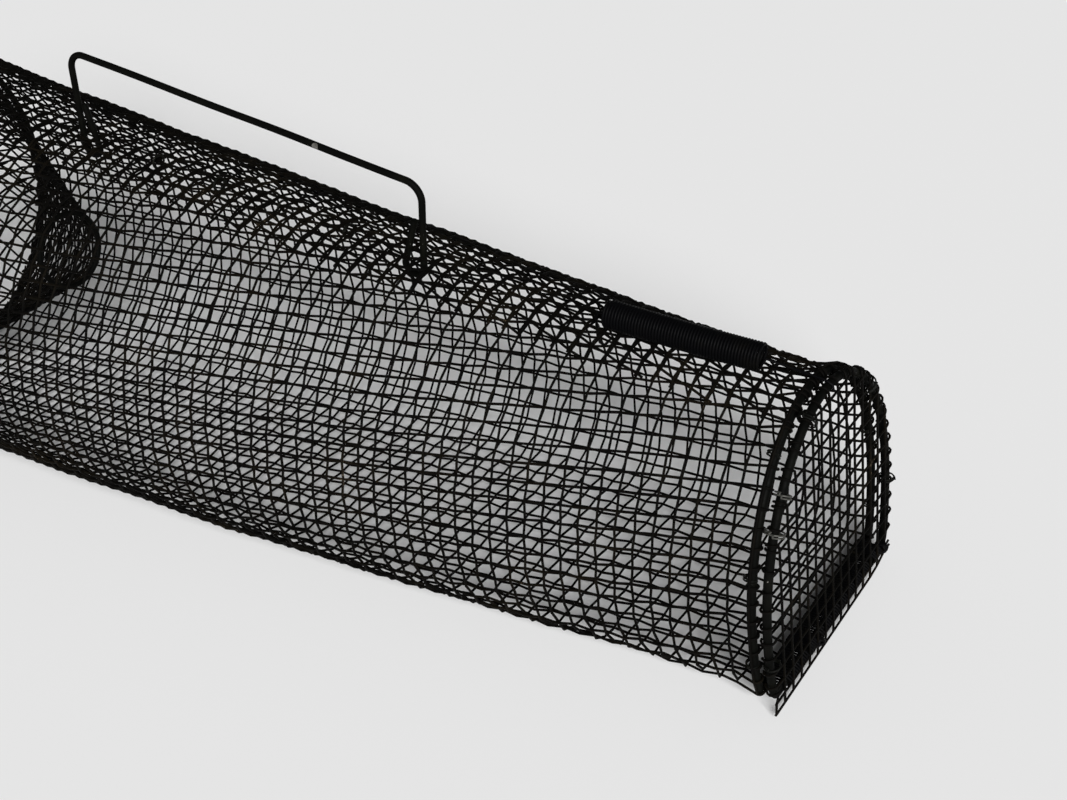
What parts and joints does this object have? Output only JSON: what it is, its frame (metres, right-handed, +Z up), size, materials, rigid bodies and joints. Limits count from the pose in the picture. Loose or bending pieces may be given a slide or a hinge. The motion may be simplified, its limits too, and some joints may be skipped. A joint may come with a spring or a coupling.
{
  "type": "minnow trap",
  "caption": "Tapering black wire-mesh minnow trap with an inward funnel at the round end, a sprung hinged door at the flat-bottomed end and a wire carry handle.",
  "frame": {"origin": "under the middle of the trap's box, on the surface it stands on", "axes": "+X along the body from the funnel end to the door end, +Y to the far side, +Z up"},
  "size_m": [0.4738, 0.1684, 0.1771],
  "materials": {
    "coated_mesh": "black vinyl-coated woven wire, satin",
    "coated_rod": "black vinyl-coated steel rod, satin, chipped in places",
    "dark_spring_wire": "black coated spring wire, satin",
    "tie_wire": "galvanised tie wire, dull"
  },
  "bodies": {
    "trap_body": {"body_mesh": "coated_mesh", "body_end_ring": "coated_rod", "mouth_ring": "coated_rod", "throat_ring": "coated_rod", "funnel_mesh": "coated_mesh", "hinge_wrap_near": "dark_spring_wire", "hinge_wrap_far": "dark_spring_wire", "door_spring": "dark_spring_wire", "body_ring_tie_1": "tie_wire", "body_ring_tie_2": "tie_wire", "body_ring_tie_3": "tie_wire", "body_ring_tie_4": "tie_wire", "body_ring_tie_5": "tie_wire", "body_ring_tie_6": "tie_wire", "mouth_clip_1": "tie_wire", "mouth_clip_2": "tie_wire", "mouth_clip_3": "tie_wire", "mouth_clip_4": "tie_wire", "mouth_clip_5": "tie_wire", "mouth_clip_6": "tie_wire", "mouth_clip_7": "tie_wire", "mouth_clip_8": "tie_wire", "throat_clip_1": "tie_wire", "throat_clip_2": "tie_wire", "throat_clip_3": "tie_wire", "throat_clip_4": "tie_wire", "seam_clip_1": "tie_wire", "seam_clip_2": "tie_wire", "seam_clip_3": "tie_wire", "seam_clip_4": "tie_wire", "seam_clip_5": "tie_wire", "seam_clip_6": "tie_wire"},
    "door": {"door_ring": "coated_rod", "door_mesh": "coated_mesh", "door_ring_tie_1": "tie_wire", "door_ring_tie_2": "tie_wire", "door_ring_tie_3": "tie_wire", "door_ring_tie_4": "tie_wire", "door_ring_tie_5": "tie_wire", "door_ring_tie_6": "tie_wire"},
    "handle": {"carry_handle": "coated_rod"}
  },
  "joints": [
    {"name": "door_open", "type": "hinge", "parent": "trap_body", "child": "door", "pos_m": [0.23222, 0, 0.007], "axis": [0, 1, 0], "range_deg": [0, 70], "stiffness_Nm_per_rad": 0.15, "springref_deg": -17.19, "deforming": ["door_spring"]},
    {"name": "handle_swing", "type": "hinge", "parent": "trap_body", "child": "handle", "pos_m": [0.07906, 0, 0.11586], "axis": [0.9879, 0, -0.1549], "range_deg": [-45, 45]}
  ]
}
